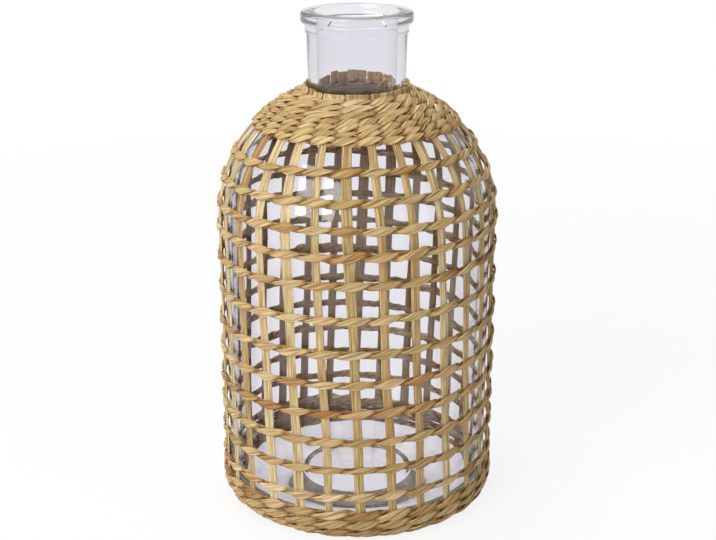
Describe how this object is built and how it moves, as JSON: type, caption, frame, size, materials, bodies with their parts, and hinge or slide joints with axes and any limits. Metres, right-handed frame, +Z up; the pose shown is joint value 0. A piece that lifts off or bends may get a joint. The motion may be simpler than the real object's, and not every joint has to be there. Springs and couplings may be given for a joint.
{
  "type": "woven-covered glass vase",
  "caption": "Clear glass bottle vase with straight sides, domed shoulder and short rimmed neck, held in an open twined straw mesh with a tight collar and hem.",
  "frame": {"origin": "on the vase's axis, on the surface that it stands on", "axes": "+Z up along the bottle's axis, -Y towards the pictured front, +X to the right of that view"},
  "size_m": [0.1428, 0.1429, 0.25],
  "materials": {
    "clear_glass": "pressed clear glass, smooth and glossy, slightly uneven",
    "straw_stake": "dried natural straw strip, matt with a faint sheen along the fibres",
    "straw_weft": "dried natural straw strip, twisted, matt with a faint sheen along the fibres",
    "straw_collar": "dried natural straw strip, twined tight, matt",
    "straw_hem": "dried natural straw strip, twined tight, matt"
  },
  "bodies": {
    "root": {"glass_bottle": "clear_glass", "stake_01": "straw_stake", "stake_02": "straw_stake", "stake_03": "straw_stake", "stake_04": "straw_stake", "stake_05": "straw_stake", "stake_06": "straw_stake", "stake_07": "straw_stake", "stake_08": "straw_stake", "stake_09": "straw_stake", "stake_10": "straw_stake", "stake_11": "straw_stake", "stake_12": "straw_stake", "stake_13": "straw_stake", "stake_14": "straw_stake", "stake_15": "straw_stake", "stake_16": "straw_stake", "stake_17": "straw_stake", "stake_18": "straw_stake", "stake_19": "straw_stake", "stake_20": "straw_stake", "stake_21": "straw_stake", "stake_22": "straw_stake", "stake_23": "straw_stake", "stake_24": "straw_stake", "stake_25": "straw_stake", "stake_26": "straw_stake", "stake_27": "straw_stake", "stake_28": "straw_stake", "weft_a_1": "straw_weft", "weft_b_1": "straw_weft", "weft_a_2": "straw_weft", "weft_b_2": "straw_weft", "weft_a_3": "straw_weft", "weft_b_3": "straw_weft", "weft_a_4": "straw_weft", "weft_b_4": "straw_weft", "weft_a_5": "straw_weft", "weft_b_5": "straw_weft", "weft_a_6": "straw_weft", "weft_b_6": "straw_weft", "collar_strand_a": "straw_collar", "collar_strand_b": "straw_collar", "hem_row_1_a": "straw_hem", "hem_row_1_b": "straw_hem", "hem_row_2_a": "straw_hem", "hem_row_2_b": "straw_hem", "hem_row_3_a": "straw_hem", "hem_row_3_b": "straw_hem", "hem_row_4_a": "straw_hem", "hem_row_4_b": "straw_hem"}
  },
  "joints": []
}
